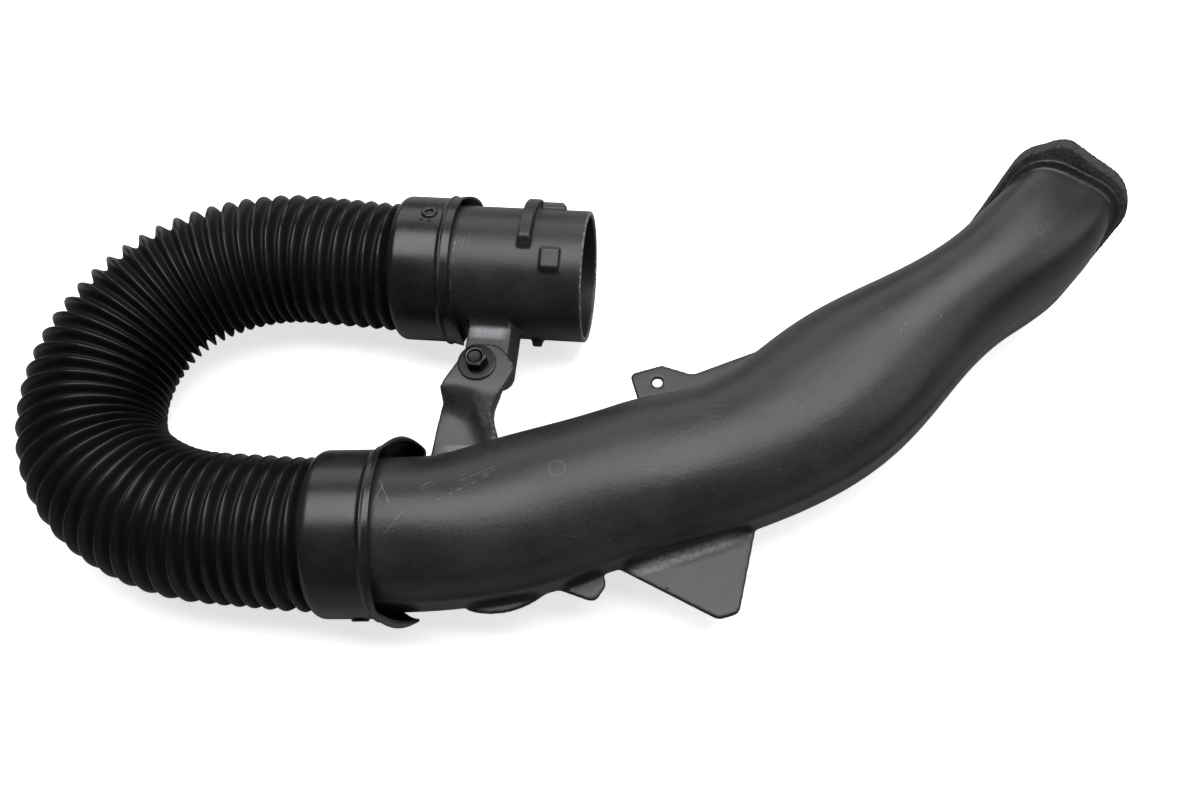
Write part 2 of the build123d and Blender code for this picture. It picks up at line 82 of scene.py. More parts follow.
def socket(tree, name, kind, way="INPUT", value=None):
    made = tree.interface.new_socket(name=name, in_out=way, socket_type=kind)
    if value is not None:
        made.default_value = value
    return made


def mathNode(tree, operation, a, b=None, clamp=False):
    node = tree.nodes.new("ShaderNodeMath")
    node.operation = operation
    node.use_clamp = clamp
    for i, value in enumerate((a, b)):
        if value is None:
            continue
        if isinstance(value, (int, float)):
            node.inputs[i].default_value = value
        else:
            link(value, node.inputs[i])
    return node.outputs[0]


def rampNode(tree, value, low, high):
    # 0 below low, 1 above high, eased between
    node = tree.nodes.new("ShaderNodeMapRange")
    node.interpolation_type = "SMOOTHSTEP"
    for key, edge in (("From Min", low), ("From Max", high)):
        if isinstance(edge, (int, float)):
            node.inputs[key].default_value = edge
        else:
            link(edge, node.inputs[key])
    link(value, node.inputs["Value"])
    return node.outputs["Result"]


def fadeNode(tree, value, low, high):
    # 1 below low, 0 above high, eased between
    return mathNode(tree, "SUBTRACT", 1.0, rampNode(tree, value, low, high))


def mixNode(tree, kind, factor, a, b):
    # a blend from a to b, each a socket or a constant
    node = tree.nodes.new("ShaderNodeMix")
    node.data_type = kind
    link(factor, node.inputs["Factor"])
    for key, value in (("A", a), ("B", b)):
        if isinstance(value, bpy.types.NodeSocket):
            link(value, node.inputs[key])
        else:
            node.inputs[key].default_value = value
    return node.outputs["Result"]


def newObject(name, mesh):
    obj = bpy.data.objects.new(name, mesh)
    scene.collection.objects.link(obj)
    return obj


def evaluatedMesh(obj, name):
    dg = bpy.context.evaluated_depsgraph_get()
    mesh = bpy.data.meshes.new_from_object(obj.evaluated_get(dg))
    mesh.name = name
    return mesh


# shader groups shared by the finishes


def makeSkinGroup():
    # moulded plastic: clouded tone, fine grain, dust specks and rubbed streaks
    tree = bpy.data.node_groups.new("mouldedSkin", "ShaderNodeTree")
    socket(tree, "Dark", "NodeSocketColor")
    socket(tree, "Worn", "NodeSocketColor")
    socket(tree, "Grain Scale", "NodeSocketFloat", value=1400.0)
    socket(tree, "Grain Height", "NodeSocketFloat", value=0.08)
    socket(tree, "Cloud Scale", "NodeSocketFloat", value=28.0)
    socket(tree, "Rub", "NodeSocketFloat", value=0.5)
    socket(tree, "Dust", "NodeSocketFloat", value=0.5)
    socket(tree, "Mottle", "NodeSocketFloat", value=0.0)
    socket(tree, "Rough Low", "NodeSocketFloat", value=0.4)
    socket(tree, "Rough High", "NodeSocketFloat", value=0.55)
    socket(tree, "Color", "NodeSocketColor", "OUTPUT")
    socket(tree, "Roughness", "NodeSocketFloat", "OUTPUT")
    socket(tree, "Normal", "NodeSocketVector", "OUTPUT")
    n = tree.nodes
    gin, gout = n.new("NodeGroupInput"), n.new("NodeGroupOutput")
    coord = n.new("ShaderNodeTexCoord").outputs["Object"]

    def noiseAt(scale, detail, rough, vector=coord):
        node = n.new("ShaderNodeTexNoise")
        node.inputs["Detail"].default_value = detail
        node.inputs["Roughness"].default_value = rough
        if isinstance(scale, (int, float)):
            node.inputs["Scale"].default_value = scale
        else:
            link(scale, node.inputs["Scale"])
        link(vector, node.inputs["Vector"])
        return node.outputs["Fac"]

    def ramp(value, low, high):
        return rampNode(tree, value, low, high)

    cloud = ramp(noiseAt(gin.outputs["Cloud Scale"], 4, 0.6), 0.35, 0.7)
    fine = noiseAt(gin.outputs["Grain Scale"], 2, 0.5)
    # rubbed streaks: long thin noise, broken up by a broad one
    turn = n.new("ShaderNodeMapping")
    turn.inputs["Rotation"].default_value = (0.2, 0.1, 0.5)
    turn.inputs["Scale"].default_value = (35, 1100, 300)
    link(coord, turn.inputs["Vector"])
    streak = ramp(noiseAt(1.0, 2, 0.6, turn.outputs["Vector"]), 0.64, 0.74)
    patch = ramp(noiseAt(16.0, 2, 0.5), 0.52, 0.66)
    rub = mathNode(tree, "MULTIPLY", mathNode(tree, "MULTIPLY", streak, patch), gin.outputs["Rub"])
    # dust specks: a few cells of a fine voronoi
    cell = n.new("ShaderNodeTexVoronoi")
    cell.inputs["Scale"].default_value = 340.0
    link(coord, cell.inputs["Vector"])
    pick = n.new("ShaderNodeSeparateColor")
    link(cell.outputs["Color"], pick.inputs["Color"])
    chosen = mathNode(tree, "GREATER_THAN", pick.outputs["Red"], 0.9)
    near = fadeNode(tree, cell.outputs["Distance"], 0.04, 0.12)
    speck = mathNode(tree, "MULTIPLY", mathNode(tree, "MULTIPLY", near, chosen), gin.outputs["Dust"])
    haze = mathNode(tree, "MULTIPLY", mathNode(tree, "MULTIPLY", cloud, fine), 0.5)
    worn = mathNode(tree, "ADD", mathNode(tree, "ADD", rub, speck), mathNode(tree, "MULTIPLY", haze, 0.22))
    spotty = mathNode(tree, "MULTIPLY", ramp(fine, 0.38, 0.68), gin.outputs["Mottle"])
    worn = mathNode(tree, "ADD", worn, spotty, True)
    link(mixNode(tree, "RGBA", worn, gin.outputs["Dark"], gin.outputs["Worn"]), gout.inputs["Color"])
    uneven = mathNode(tree, "ADD", mathNode(tree, "MULTIPLY", cloud, 0.6), mathNode(tree, "MULTIPLY", fine, 0.4))
    rough = n.new("ShaderNodeMapRange")
    link(uneven, rough.inputs["Value"])
    link(gin.outputs["Rough Low"], rough.inputs["To Min"])
    link(gin.outputs["Rough High"], rough.inputs["To Max"])
    link(rough.outputs["Result"], gout.inputs["Roughness"])
    bump = n.new("ShaderNodeBump")
    bump.inputs["Distance"].default_value = 0.0004
    link(gin.outputs["Grain Height"], bump.inputs["Strength"])
    link(mathNode(tree, "SUBTRACT", fine, mathNode(tree, "MULTIPLY", rub, 0.5)), bump.inputs["Height"])
    link(bump.outputs["Normal"], gout.inputs["Normal"])
    return tree


def localPoint(tree, gin):
    # the surface point seen from a mark's own place and turn
    coord = tree.nodes.new("ShaderNodeTexCoord").outputs["Object"]
    away = tree.nodes.new("ShaderNodeVectorMath")
    away.operation = "SUBTRACT"
    link(coord, away.inputs[0])
    link(gin.outputs["Place"], away.inputs[1])
    spin = tree.nodes.new("ShaderNodeVectorRotate")
    spin.rotation_type = "Z_AXIS"
    link(away.outputs["Vector"], spin.inputs["Vector"])
    link(mathNode(tree, "MULTIPLY", gin.outputs["Turn"], -1.0), spin.inputs["Angle"])
    split = tree.nodes.new("ShaderNodeSeparateXYZ")
    link(spin.outputs["Vector"], split.inputs[0])
    return coord, split.outputs


def markGroup(name, sizes):
    tree = bpy.data.node_groups.new(name, "ShaderNodeTree")
    socket(tree, "Place", "NodeSocketVector")
    for key in ("Turn", *sizes):
        socket(tree, key, "NodeSocketFloat")
    socket(tree, "Mask", "NodeSocketFloat", "OUTPUT")
    return tree, tree.nodes.new("NodeGroupInput"), tree.nodes.new("NodeGroupOutput")


def product(tree, first, *others):
    for other in others:
        first = mathNode(tree, "MULTIPLY", first, other)
    return first


def lineMask(tree, off, width, core):
    # a soft line, full within the core share of its width
    return fadeNode(tree, off, mathNode(tree, "MULTIPLY", width, core), mathNode(tree, "MULTIPLY", width, 0.6))


def within(tree, value, reach):
    return mathNode(tree, "LESS_THAN", mathNode(tree, "ABSOLUTE", value), reach)


def makeStrokeGroup():
    # short parallel strokes, the first at Place and the others beside it, within Deep of it in height
    tree, gin, gout = markGroup("strokeRow", ("Length", "Gap", "Width", "Count", "Deep"))
    coord, (x, y, z) = localPoint(tree, gin)
    half = mathNode(tree, "MULTIPLY", gin.outputs["Length"], 0.5)
    inLength = fadeNode(tree, mathNode(tree, "ABSOLUTE", x), mathNode(tree, "MULTIPLY", half, 0.6), half)
    step = mathNode(tree, "DIVIDE", y, gin.outputs["Gap"])
    row = mathNode(tree, "ROUND", step)
    afterFirst = mathNode(tree, "GREATER_THAN", row, -0.5)
    beforeEnd = mathNode(tree, "LESS_THAN", row, mathNode(tree, "SUBTRACT", gin.outputs["Count"], 0.5))
    inRow = mathNode(tree, "MULTIPLY", afterFirst, beforeEnd)
    off = mathNode(tree, "ABSOLUTE", mathNode(tree, "SUBTRACT", step, row))
    line = lineMask(tree, mathNode(tree, "MULTIPLY", off, gin.outputs["Gap"]), gin.outputs["Width"], 0.2)
    level = within(tree, z, gin.outputs["Deep"])
    gap = tree.nodes.new("ShaderNodeTexNoise")
    gap.inputs["Scale"].default_value = 420.0
    link(coord, gap.inputs["Vector"])
    broken = rampNode(tree, gap.outputs["Fac"], 0.36, 0.6)
    link(product(tree, inLength, inRow, line, level, broken), gout.inputs["Mask"])
    return tree


def makeRingGroup():
    tree, gin, gout = markGroup("ringMark", ("Radius", "Width", "Deep"))
    x, y, z = localPoint(tree, gin)[1]
    squares = mathNode(tree, "ADD", mathNode(tree, "MULTIPLY", x, x), mathNode(tree, "MULTIPLY", y, y))
    reach = mathNode(tree, "SQRT", squares)
    off = mathNode(tree, "ABSOLUTE", mathNode(tree, "SUBTRACT", reach, gin.outputs["Radius"]))
    line = lineMask(tree, off, gin.outputs["Width"], 0.25)
    link(product(tree, line, within(tree, z, gin.outputs["Deep"])), gout.inputs["Mask"])
    return tree


def makePatchGroup():
    # a soft-edged patch of painted light, broken up by grain
    tree, gin, gout = markGroup("paintedLightPatch", ("Long", "Wide", "Deep", "Grain"))
    coord, split = localPoint(tree, gin)
    edges = []
    for value, key, firm in zip(split, ("Long", "Wide", "Deep"), (0.5, 0.3, 0.8)):
        size = gin.outputs[key]
        edges.append(fadeNode(tree, mathNode(tree, "ABSOLUTE", value), mathNode(tree, "MULTIPLY", size, firm), size))
    speck = tree.nodes.new("ShaderNodeTexNoise")
    speck.inputs["Scale"].default_value = 650.0
    speck.inputs["Detail"].default_value = 3.0
    link(coord, speck.inputs["Vector"])
    broken = rampNode(tree, speck.outputs["Fac"], 0.42, 0.62)
    grainGaps = mathNode(tree, "MULTIPLY", gin.outputs["Grain"], mathNode(tree, "SUBTRACT", 1.0, broken))
    link(product(tree, *edges, mathNode(tree, "SUBTRACT", 1.0, grainGaps)), gout.inputs["Mask"])
    return tree


skinGroup = makeSkinGroup()
markGroups = {"strokes": makeStrokeGroup(), "ring": makeRingGroup(), "patch": makePatchGroup()}


def plastic(name, finish, marks=()):
    # marks: kind, place in mm, turn in degrees, strength, then the group's own sizes in mm
    mat = bpy.data.materials.new(name)
    mat.use_nodes = True
    tree = mat.node_tree
    shader = tree.nodes["Principled BSDF"]
    skin = tree.nodes.new("ShaderNodeGroup")
    skin.node_tree = skinGroup
    for key in ("Dark", "Worn"):
        skin.inputs[key].default_value = (*finish[key], 1)
    for key in ("Grain Scale", "Grain Height", "Cloud Scale", "Rub", "Dust", "Mottle", "Rough Low", "Rough High"):
        skin.inputs[key].default_value = finish[key]
    shader.inputs["Specular IOR Level"].default_value = finish["Gloss"]
    shader.inputs["Metallic"].default_value = finish.get("Metal", 0.0)
    colour = skin.outputs["Color"]
    cover = None
    for kind, place, turn, strength, sizes in marks:
        node = tree.nodes.new("ShaderNodeGroup")
        node.node_tree = markGroups[kind]
        node.inputs["Place"].default_value = [v * mm for v in place]
        node.inputs["Turn"].default_value = math.radians(turn)
        for key, value in sizes.items():
            node.inputs[key].default_value = value if key in ("Count", "Grain") else value * mm
        mask = mathNode(tree, "MULTIPLY", node.outputs["Mask"], strength)
        cover = mask if cover is None else mathNode(tree, "MAXIMUM", cover, mask)
    if cover is not None:
        colour = mixNode(tree, "RGBA", cover, colour, (*finish["Mark"], 1))
    rough = skin.outputs["Roughness"]
    if "Root Rough" in finish:  # grooves are dull and get painted shade in their colour, crests are rubbed to a sheen
        crest = tree.nodes.new("ShaderNodeAttribute")
        crest.attribute_name = "crestShare"
        height = rampNode(tree, crest.outputs["Fac"], 0.3, 0.92)
        rough = mixNode(tree, "FLOAT", height, finish["Root Rough"], rough)
        colour = mixNode(tree, "RGBA", height, (*finish["Painted Groove Shade"], 1), colour)
    link(colour, shader.inputs["Base Color"])
    link(rough, shader.inputs["Roughness"])
    link(skin.outputs["Normal"], shader.inputs["Normal"])
    return mat


ductFinish = {
    "Dark": (0.0115, 0.0115, 0.0126), "Worn": (0.13, 0.13, 0.135), "Mark": (0.3, 0.3, 0.305),
    "Grain Scale": 1300.0, "Grain Height": 0.2, "Cloud Scale": 26.0,
    "Rub": 0.16, "Dust": 0.5, "Mottle": 0.03, "Rough Low": 0.31, "Rough High": 0.45, "Gloss": 0.3,
}
spoutFinish = dict(ductFinish, **{"Cloud Scale": 34.0, "Rub": 0.14, "Rough Low": 0.31, "Rough High": 0.44})
hoseFinish = {
    "Dark": (0.0075, 0.0075, 0.0082), "Worn": (0.1, 0.1, 0.105), "Mark": (0.2, 0.2, 0.2),
    "Grain Scale": 900.0, "Grain Height": 0.05, "Cloud Scale": 40.0,
    "Rub": 0.06, "Dust": 0.3, "Mottle": 0.0, "Rough Low": 0.23, "Rough High": 0.35, "Gloss": 0.34,
}
ductMarks = [
    ("ring", (0.5, -120.4, 32.0), 0, 0.08, {"Radius": 3.7, "Width": 0.9, "Deep": 6}),
    ("strokes", (153.9, -40.3, 36.3), 60.6, 0.1, {"Length": 8.2, "Gap": 9, "Width": 1.1, "Count": 1, "Deep": 8}),
    ("strokes", (161.6, -45.7, 34.6), 53, 0.1, {"Length": 8.9, "Gap": 9, "Width": 1.1, "Count": 1, "Deep": 8}),
    ("strokes", (107.5, -83.0, 32.5), 47, 0.12, {"Length": 5.0, "Gap": 1.7, "Width": 0.5, "Count": 3, "Deep": 8}),
    ("strokes", (170.0, -34.6, 36.5), 42, 0.12, {"Length": 6.0, "Gap": 1.7, "Width": 0.5, "Count": 3, "Deep": 8}),
    ("strokes", (214.5, 10.5, 44.3), -60, 0.13, {"Length": 5.5, "Gap": 1.6, "Width": 0.5, "Count": 5, "Deep": 8}),
    # scratches beside the hose's lip
    ("strokes", (-39.5, -132.4, 33.0), 36, 0.3, {"Length": 31, "Gap": 5, "Width": 0.42, "Count": 1, "Deep": 8}),
    ("strokes", (-34.0, -126.5, 32.0), 33, 0.22, {"Length": 22, "Gap": 1.8, "Width": 0.36, "Count": 2, "Deep": 8}),
    ("strokes", (-56.6, -134.6, 34.5), 44, 0.22, {"Length": 8, "Gap": 1.6, "Width": 0.5, "Count": 2, "Deep": 8}),
    ("strokes", (-75.5, -138.5, 35.0), -58, 0.32, {"Length": 18, "Gap": 5, "Width": 0.42, "Count": 1, "Deep": 8}),
    ("strokes", (-78.0, -141.0, 36.0), 78, 0.26, {"Length": 17, "Gap": 5, "Width": 0.42, "Count": 1, "Deep": 8}),
    ("strokes", (-68.2, -152.4, 36.0), 56, 0.22, {"Length": 16, "Gap": 5, "Width": 0.42, "Count": 1, "Deep": 8}),
    ("strokes", (-46.0, -128.0, 32.0), 20, 0.12, {"Length": 13, "Gap": 2.6, "Width": 0.4, "Count": 1, "Deep": 8}),
    # painted highlights along the roots of the pinched sheets and on the arm's ridge, and painted light on the arm's
    # slopes
    ("patch", (60.7, -144.6, -3.6), 23.5, 0.5, {"Long": 31, "Wide": 4.0, "Deep": 4.5, "Grain": 0.4}),
    ("patch", (-48.0, -98.6, -3.0), 4, 0.34, {"Long": 19, "Wide": 2.6, "Deep": 4.5, "Grain": 0.5}),
    ("patch", (-45.0, -82.0, 6.0), -62, 0.12, {"Long": 11, "Wide": 3.2, "Deep": 7, "Grain": 0.5}),
    ("patch", (-50.0, -80.0, 3.0), -10, 0.05, {"Long": 24, "Wide": 30, "Deep": 16, "Grain": 0.35}),
    ("patch", (-57.0, -77.0, 2.5), -20, 0.09, {"Long": 13, "Wide": 6, "Deep": 9, "Grain": 0.3}),
]
spoutMarks = [
    ("strokes", (-58.1, -3.6, 34.0), 78, 0.14, {"Length": 5.8, "Gap": 2.2, "Width": 0.55, "Count": 4, "Deep": 5}),
    # painted highlight round the open end's rim
    ("patch", (-0.2, 0.0, 0.0), 0, 0.5, {"Long": 0.75, "Wide": 60, "Deep": 60, "Grain": 0.75}),
    # painted highlight along the tab's root fillet
    ("patch", (-46.8, -39.4, 6.2), 0, 0.48, {"Long": 11.5, "Wide": 4.4, "Deep": 4, "Grain": 0.2}),
    ("strokes", (-65.0, -9.0, 32.8), 82, 0.5, {"Length": 15, "Gap": 3, "Width": 0.36, "Count": 1, "Deep": 5}),
    ("strokes", (-64.6, -14.0, 31.0), 70, 0.35, {"Length": 9, "Gap": 3, "Width": 0.36, "Count": 1, "Deep": 5}),
    ("strokes", (-65.4, -25.0, 22.8), 86, 0.4, {"Length": 12, "Gap": 3, "Width": 0.36, "Count": 1, "Deep": 8}),
]
ductPlastic = plastic("ductPlastic", ductFinish, ductMarks)
spoutPlastic = plastic("spoutPlastic", spoutFinish, spoutMarks)
hosePlastic = plastic("hosePlastic", hoseFinish)
# the ribs' plastic is a darker copy of the cuffs' plastic: painted shade of the convolutions
ribShadedFinish = dict(hoseFinish, **{
    "Dark": (0.0055, 0.0055, 0.006), "Rough Low": 0.17, "Rough High": 0.26, "Gloss": 0.2,
    # painted shade: a still darker colour down in the grooves
    "Painted Groove Shade": (0.0025, 0.0025, 0.0028), "Root Rough": 0.6,
})
ribShadedPlastic = plastic("ribShadedPlastic", ribShadedFinish)
print("finishes made")

# hose path: from the lip on the spout to the lip on the duct, lengths in mm and turns in degrees
hosePath = {
    "start": (-61.5, 0.0),
    "heading": 180.0,
    "upperCuff": 38.0,
    "lowerCuff": 49.0,
    "run": [
        ("line", 38.0), ("arc", 100.0, -2.9), ("line", 40.9), ("arc", 110.4, 30.8), ("arc", 79.1, 80.0),
        ("arc", 56.3, 38.9), ("arc", 95.9, 33.2), ("line", 38.3), ("arc", 150.0, 5.0), ("line", 49.0),
    ],
    "step": 0.5,
}


def walkPath(path):
    x, y = path["start"]
    heading = math.radians(path["heading"])
    spots = [(0.0, x, y, heading)]
    done = 0.0
    for part in path["run"]:
        length = part[1] if part[0] == "line" else part[1] * math.radians(abs(part[2]))
        bend = 0.0 if part[0] == "line" else math.radians(part[2]) / length
        count = max(2, round(length / path["step"]))
        x0, y0, h0 = x, y, heading
        for i in range(1, count + 1):
            s = length * i / count
            heading = h0 + bend * s
            if bend:
                x = x0 + (math.sin(heading) - math.sin(h0)) / bend
                y = y0 - (math.cos(heading) - math.cos(h0)) / bend
            else:
                x, y = x0 + math.cos(h0) * s, y0 + math.sin(h0) * s
            spots.append((done + s, x, y, heading))
        done += length
    return spots


hoseSpots = walkPath(hosePath)
hoseLength = hoseSpots[-1][0]

# bellows: ribs that follow the hose path
bellows = {
    "Ribs": 48, "Points Per Rib": 14, "Ring Points": 104, "Upper Radius": 33.4 * mm, "Lower Radius": 36.7 * mm,
    "Depth": 5.0 * mm, "Crest Sharpness": 2.1, "Wall": 1.2 * mm,
}


def makeBellowsTree():
    tree = bpy.data.node_groups.new("bellowsTree", "GeometryNodeTree")
    socket(tree, "Geometry", "NodeSocketGeometry")
    for key, value in bellows.items():
        socket(tree, key, "NodeSocketInt" if isinstance(value, int) else "NodeSocketFloat", value=value)
    socket(tree, "Material", "NodeSocketMaterial")
    socket(tree, "Geometry", "NodeSocketGeometry", "OUTPUT")
    n = tree.nodes
    gin, gout = n.new("NodeGroupInput"), n.new("NodeGroupOutput")
    toCurve = n.new("GeometryNodeMeshToCurve")
    link(gin.outputs["Geometry"], toCurve.inputs["Mesh"])
    join = n.new("GeometryNodeJoinGeometry")
    for inside in (False, True):
        resample = n.new("GeometryNodeResampleCurve")
        resample.mode = "COUNT"
        link(toCurve.outputs["Curve"], resample.inputs["Curve"])
        perRib = gin.outputs["Points Per Rib"]
        if inside:  # the bore is seldom seen, so a third of the points will do
            perRib = mathNode(tree, "DIVIDE", perRib, 3.0)
        count = mathNode(tree, "ADD", mathNode(tree, "MULTIPLY", gin.outputs["Ribs"], perRib), 1.0)
        link(count, resample.inputs["Count"])
        share = n.new("GeometryNodeSplineParameter").outputs["Factor"]
        phase = mathNode(tree, "MULTIPLY", mathNode(tree, "MULTIPLY", share, gin.outputs["Ribs"]), math.pi)
        wave = mathNode(tree, "ABSOLUTE", mathNode(tree, "SINE", phase))
        rise = mathNode(tree, "POWER", wave, gin.outputs["Crest Sharpness"])
        wider = mathNode(tree, "SUBTRACT", gin.outputs["Lower Radius"], gin.outputs["Upper Radius"])
        crest = mathNode(tree, "ADD", gin.outputs["Upper Radius"], mathNode(tree, "MULTIPLY", share, wider))
        drop = mathNode(tree, "MULTIPLY", gin.outputs["Depth"], mathNode(tree, "SUBTRACT", 1.0, rise))
        radius = mathNode(tree, "SUBTRACT", crest, drop)
        if inside:
            radius = mathNode(tree, "SUBTRACT", radius, gin.outputs["Wall"])
        ring = n.new("GeometryNodeCurvePrimitiveCircle")
        ring.inputs["Radius"].default_value = 1.0
        link(gin.outputs["Ring Points"], ring.inputs["Resolution"])
        keep = n.new("GeometryNodeStoreNamedAttribute")
        keep.data_type, keep.domain = "FLOAT", "POINT"
        keep.inputs["Name"].default_value = "crestShare"
        link(resample.outputs["Curve"], keep.inputs["Geometry"])
        link(rise, keep.inputs["Value"])
        sweep = n.new("GeometryNodeCurveToMesh")
        link(keep.outputs["Geometry"], sweep.inputs["Curve"])
        link(ring.outputs["Curve"], sweep.inputs["Profile Curve"])
        link(radius, sweep.inputs["Scale"])
        if inside:
            flip = n.new("GeometryNodeFlipFaces")
            link(sweep.outputs["Mesh"], flip.inputs["Mesh"])
            link(flip.outputs["Mesh"], join.inputs["Geometry"])
        else:
            link(sweep.outputs["Mesh"], join.inputs["Geometry"])
    smooth = n.new("GeometryNodeSetShadeSmooth")
    link(join.outputs["Geometry"], smooth.inputs["Geometry"])
    realize = n.new("GeometryNodeRealizeInstances")
    link(smooth.outputs["Geometry"], realize.inputs["Geometry"])
    paint = n.new("GeometryNodeSetMaterial")
    link(realize.outputs["Geometry"], paint.inputs["Geometry"])
    link(gin.outputs["Material"], paint.inputs["Material"])
    link(paint.outputs["Geometry"], gout.inputs["Geometry"])
    return tree


def makeBellows():
    low, high = hosePath["upperCuff"], hoseLength - hosePath["lowerCuff"]
    line = [(x * mm, y * mm, 0) for s, x, y, h in hoseSpots if low - 0.01 <= s <= high + 0.01]
    mesh = bpy.data.meshes.new("bellowsLine")
    mesh.from_pydata(line, [(i, i + 1) for i in range(len(line) - 1)], [])
    obj = newObject("hoseBellows", mesh)
    tree = makeBellowsTree()
    mod = obj.modifiers.new("bellows", "NODES")
    mod.node_group = tree
    ids = {item.name: item.identifier for item in tree.interface.items_tree if item.in_out == "INPUT"}
    for key, value in bellows.items():
        mod[ids[key]] = value
    mod[ids["Material"]] = ribShadedPlastic
    made = evaluatedMesh(obj, "hoseBellows")
    obj.modifiers.clear()
    obj.data = made
    return obj


hoseBellows = makeBellows()
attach(hoseBellows, "root")
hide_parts("flexible_hose")
print("bellows:", len(hoseBellows.data.polygons), "faces")

# cuffs: mm, with d measured from the lip's furthest point back into the hose
upperCuff = {
    "name": "upperCuff", "fromEnd": False, "length": 38.0, "radius": 37.6, "root": 28.4, "wall": 2.0, "bead": 10.0,
    "beadHeight": 1.25, "beadWidth": 0.95, "lipStep": 0.45, "hood": 5.0, "curl": 0.0, "shoulder": 6.0,
    "hoods": [{"middle": 90, "spread": 0.6, "flare": 2.2}, {"middle": -90, "spread": 0.6, "flare": 2.2}],
    "boss": {"setback": 18.1, "angle": 17.8},
}
lowerCuff = {
    "name": "lowerCuff", "fromEnd": True, "length": 49.0, "radius": 39.9, "root": 31.7, "wall": 2.0, "bead": 18.5,
    "beadHeight": 1.25, "beadWidth": 1.05, "lipStep": 0.45, "hood": 14.5, "curl": 0.8, "shoulder": 7.0,
    "hoods": [{"middle": 86, "spread": 0.62, "flare": 7.0}, {"middle": -108, "spread": 0.5, "flare": 4.4}],
    "boss": {"setback": 27.0, "angle": -104.0},
}
# vent boss: radius and height from the cuff's surface, in mm, with two pips beside it
ventBoss = {
    "profile": [
        (4.3, -0.6), (4.15, 0.5), (3.8, 1.05), (3.2, 1.2), (2.4, 1.15), (1.9, 0.9), (1.65, 0.3), (1.6, -1.5), (0.0, -1.6),
    ],
    "around": 40, "pips": [(-3.0, -5.2), (1.2, -5.6)], "pipRadius": 1.0,
}


def spotAt(s):
    i = min(range(len(hoseSpots)), key=lambda k: abs(hoseSpots[k][0] - s))
    s0, x, y, heading = hoseSpots[i]
    return x + (s - s0) * math.cos(heading), y + (s - s0) * math.sin(heading), heading


def bump(value, width):
    return math.exp(-((value / width) ** 2))


def ease(value):
    value = max(0.0, min(1.0, value))
    return value * value * (3 - 2 * value)


def meshOf(name, verts, faces, material):
    mesh = bpy.data.meshes.new(name)
    mesh.from_pydata(verts, [], faces)
    bm = bmesh.new()
    bm.from_mesh(mesh)
    bmesh.ops.recalc_face_normals(bm, faces=bm.faces)
    bm.to_mesh(mesh)
    bm.free()
    mesh.shade_smooth()
    mesh.materials.append(material)
    return mesh


def ringFaces(rows, closed):
    faces = []
    for i in range(len(rows) if closed else len(rows) - 1):
        a, b = rows[i], rows[(i + 1) % len(rows)]
        for j in range(len(a)):
            k = (j + 1) % len(a)
            faces.append((a[j], a[k], b[k], b[j]))
    return faces


def makeCuff(spec):
    around = 160
    length, radius, shoulder, bead = spec["length"], spec["radius"], spec["shoulder"], spec["bead"]
    verts, rows = [], []

    def outer(d, side):
        r = radius
        if d > length - shoulder:  # rounded shoulder down to the first root
            drop = (d - length + shoulder) / shoulder
            r = spec["root"] + (radius - spec["root"]) * math.sqrt(max(0.0, 1 - drop ** 2.4))
        r += spec["lipStep"] * ease((bead + 0.8 - d) / 1.6)
        r += (spec["beadHeight"] - spec["lipStep"] / 2) * bump(d - bead, spec["beadWidth"])
        share = max(0.0, (bead - d) / bead)
        dome = math.sin(math.pi * share ** 0.9)  # a hood that curls back to the pipe at its tip
        return r + side * (ease(share) * (1 - spec["curl"]) + dome * spec["curl"])

    def ring(share, d, inset):
        # a share runs from the lip's edge to the bead, where the edge depends on the side
        row = []
        for j in range(around):
            a = 2 * math.pi * j / around
            hood = spec["hoods"][0 if math.sin(a) >= 0 else 1]
            off = a - math.radians(hood["middle"])
            across = math.sin(off) if math.cos(off) > 0 else 1.0
            edge = spec["hood"] * min(1.0, (across / hood["spread"]) ** 2)
            dist = d if share is None else edge + (bead - edge) * share
            x, y, heading = spotAt(hoseLength - dist if spec["fromEnd"] else dist)
            r = outer(dist, hood["flare"] * max(0.0, math.cos(off)) ** (4 - 2.2 * spec["curl"])) - inset
            across = r * math.sin(a)
            spot = (x - math.sin(heading) * across, y + math.cos(heading) * across, r * math.cos(a))
            verts.append([v * mm for v in spot])
            row.append(len(verts) - 1)
        rows.append(row)

    lip = [k / 31 for k in range(32)]
    body = [bead + 0.4 * i for i in range(1, 10)]
    while body[-1] < length - shoulder - 1:
        body.append(min(body[-1] + 2.5, length - shoulder))
    body += [length - shoulder * (1 - i / 16) for i in range(1, 17)]
    ring(0.0, None, 0.35)
    for share in lip:
        ring(share, None, 0.0)
    for d in body:
        ring(None, d, 0.0)
    for d in reversed(body[::3]):
        ring(None, d, spec["wall"])
    for share in reversed(lip[::2]):
        ring(share, None, spec["wall"] * (0.6 + 0.4 * share))
    ring(0.0, None, spec["wall"] * 0.45)
    obj = newObject(spec["name"], meshOf(spec["name"], verts, ringFaces(rows, True), hosePlastic))
    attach(obj, "root")
    return obj


